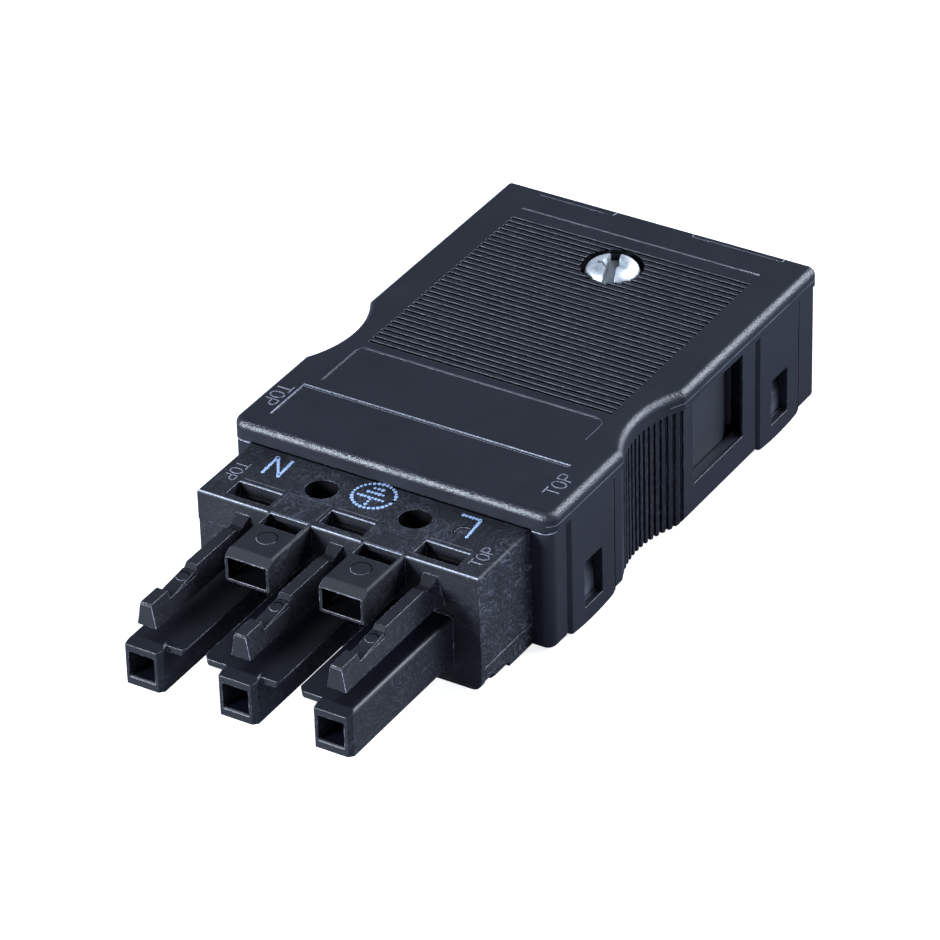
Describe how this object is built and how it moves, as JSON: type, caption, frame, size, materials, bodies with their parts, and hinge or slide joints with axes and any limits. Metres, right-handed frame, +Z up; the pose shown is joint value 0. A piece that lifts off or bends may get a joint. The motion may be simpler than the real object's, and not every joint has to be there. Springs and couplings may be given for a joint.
{
  "type": "female installation connector",
  "caption": "Female plug-in installation connector in a snap-together strain relief housing, with latch arms, coding boxes, rear cable entries and a screw-driven cable clamp.",
  "frame": {"origin": "centre of the bounding box in plan, on the flat underside of the housing", "axes": "+X across the poles, to the right seen from the sleeves; +Y from the sleeve tips to the cable end; +Z up, out of the cover"},
  "size_m": [0.0344, 0.076, 0.0153],
  "materials": {
    "connector_plastic": "black glass-filled polyamide, satin",
    "shell_plastic": "black polyamide, fine texture with polished edges",
    "bridge_plastic": "black polyamide, plain",
    "tinned_contact": "tin-plated copper alloy",
    "spring_steel": "bare stainless spring steel",
    "plated_steel": "zinc plated, clear passivated"
  },
  "bodies": {
    "housing": {"connector_body": "connector_plastic", "connector_base": "connector_plastic", "base_shell": "shell_plastic", "cover": "shell_plastic", "contact_neutral": "tinned_contact", "contact_earth": "tinned_contact", "contact_line": "tinned_contact", "contact_clip_neutral": "spring_steel", "contact_clip_earth": "spring_steel", "contact_clip_line": "spring_steel", "wire_spring_neutral_left": "spring_steel", "wire_spring_neutral_right": "spring_steel", "wire_spring_earth_left": "spring_steel", "wire_spring_earth_right": "spring_steel", "wire_spring_line_left": "spring_steel", "wire_spring_line_right": "spring_steel", "clamp_nut": "plated_steel"},
    "clamp": {"clamp_bridge": "bridge_plastic"},
    "screw": {"clamp_screw": "plated_steel"}
  },
  "joints": [
    {"name": "clamp_slide", "type": "slide", "parent": "housing", "child": "clamp", "axis": [0, 0, -1], "range_m": [0, 0.003]},
    {"name": "screw_turn", "type": "hinge", "parent": "clamp", "child": "screw", "pos_m": [0, 0.02895, 0.01305], "axis": [0, 0, -1], "range_deg": [0, 2160]}
  ],
  "couplings": [
    {"joint": "screw_turn", "follows": "clamp_slide", "rad_per_m": 12566}
  ]
}
